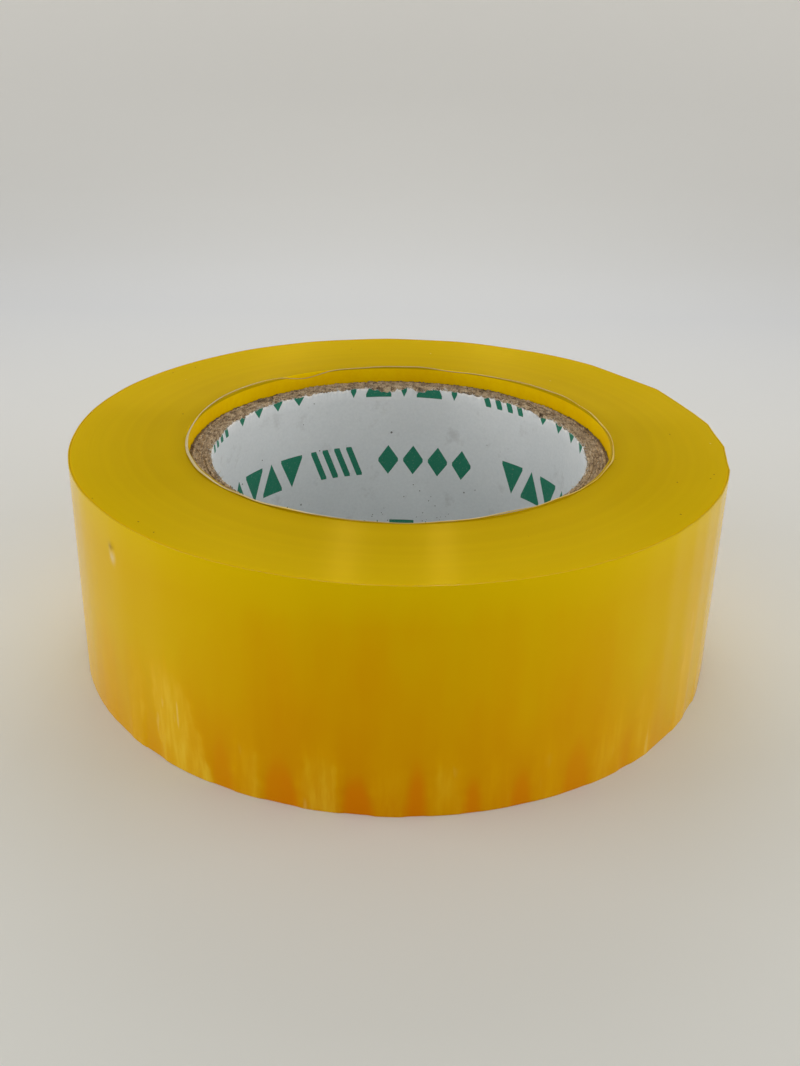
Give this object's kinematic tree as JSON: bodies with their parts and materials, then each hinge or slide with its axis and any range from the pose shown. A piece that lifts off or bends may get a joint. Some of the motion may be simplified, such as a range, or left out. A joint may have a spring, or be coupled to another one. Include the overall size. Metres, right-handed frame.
{
  "type": "packing tape roll",
  "caption": "Roll of clear amber adhesive packing tape wound on a lined, spiral-wound paperboard core, with a free end that peels off the roll.",
  "frame": {"origin": "centre of the lower flat side, on the surface that the roll lies on", "axes": "+Z along the roll's axis, up through the core; +X and +Y across the roll, with the free end of the tape on the +Y side"},
  "size_m": [0.131, 0.131, 0.045],
  "materials": {
    "tape_film": "gloss",
    "core_board": "matte",
    "liner_paper": "matte"
  },
  "bodies": {
    "roll": {"printed_liner": "liner_paper", "core_ply_1": "core_board", "core_ply_2": "core_board", "core_ply_3": "core_board", "core_ply_4": "core_board", "core_ply_5": "core_board", "core_ply_6": "core_board", "core_ply_7": "core_board", "tape_first_turn": "tape_film", "tape_winding": "tape_film", "tape_last_turn": "tape_film"},
    "free_end_1": {"tape_end_1": "tape_film"},
    "free_end_2": {"tape_end_2": "tape_film"},
    "free_end_3": {"tape_end_3": "tape_film"},
    "free_end_4": {"tape_end_4": "tape_film"},
    "free_end_5": {"tape_end_5": "tape_film"}
  },
  "joints": [
    {"name": "peel", "type": "hinge", "parent": "roll", "child": "free_end_1", "pos_m": [0.0224, 0.06155, 0.0225], "axis": [0, 0, -1], "range_deg": [0, 105]},
    {"name": "straighten_2", "type": "hinge", "parent": "free_end_1", "child": "free_end_2", "pos_m": [0.01376, 0.06404, 0.0225], "axis": [0, 0, -1], "range_deg": [0, 8]},
    {"name": "straighten_3", "type": "hinge", "parent": "free_end_2", "child": "free_end_3", "pos_m": [0.00485, 0.06532, 0.0225], "axis": [0, 0, -1], "range_deg": [0, 8]},
    {"name": "straighten_4", "type": "hinge", "parent": "free_end_3", "child": "free_end_4", "pos_m": [-0.00414, 0.06537, 0.0225], "axis": [0, 0, -1], "range_deg": [0, 8]},
    {"name": "straighten_5", "type": "hinge", "parent": "free_end_4", "child": "free_end_5", "pos_m": [-0.01306, 0.06419, 0.0225], "axis": [0, 0, -1], "range_deg": [0, 8]}
  ],
  "couplings": [
    {"joint": "straighten_2", "follows": "peel", "ratio": 0.075},
    {"joint": "straighten_3", "follows": "peel", "ratio": 0.075},
    {"joint": "straighten_4", "follows": "peel", "ratio": 0.075},
    {"joint": "straighten_5", "follows": "peel", "ratio": 0.075}
  ]
}
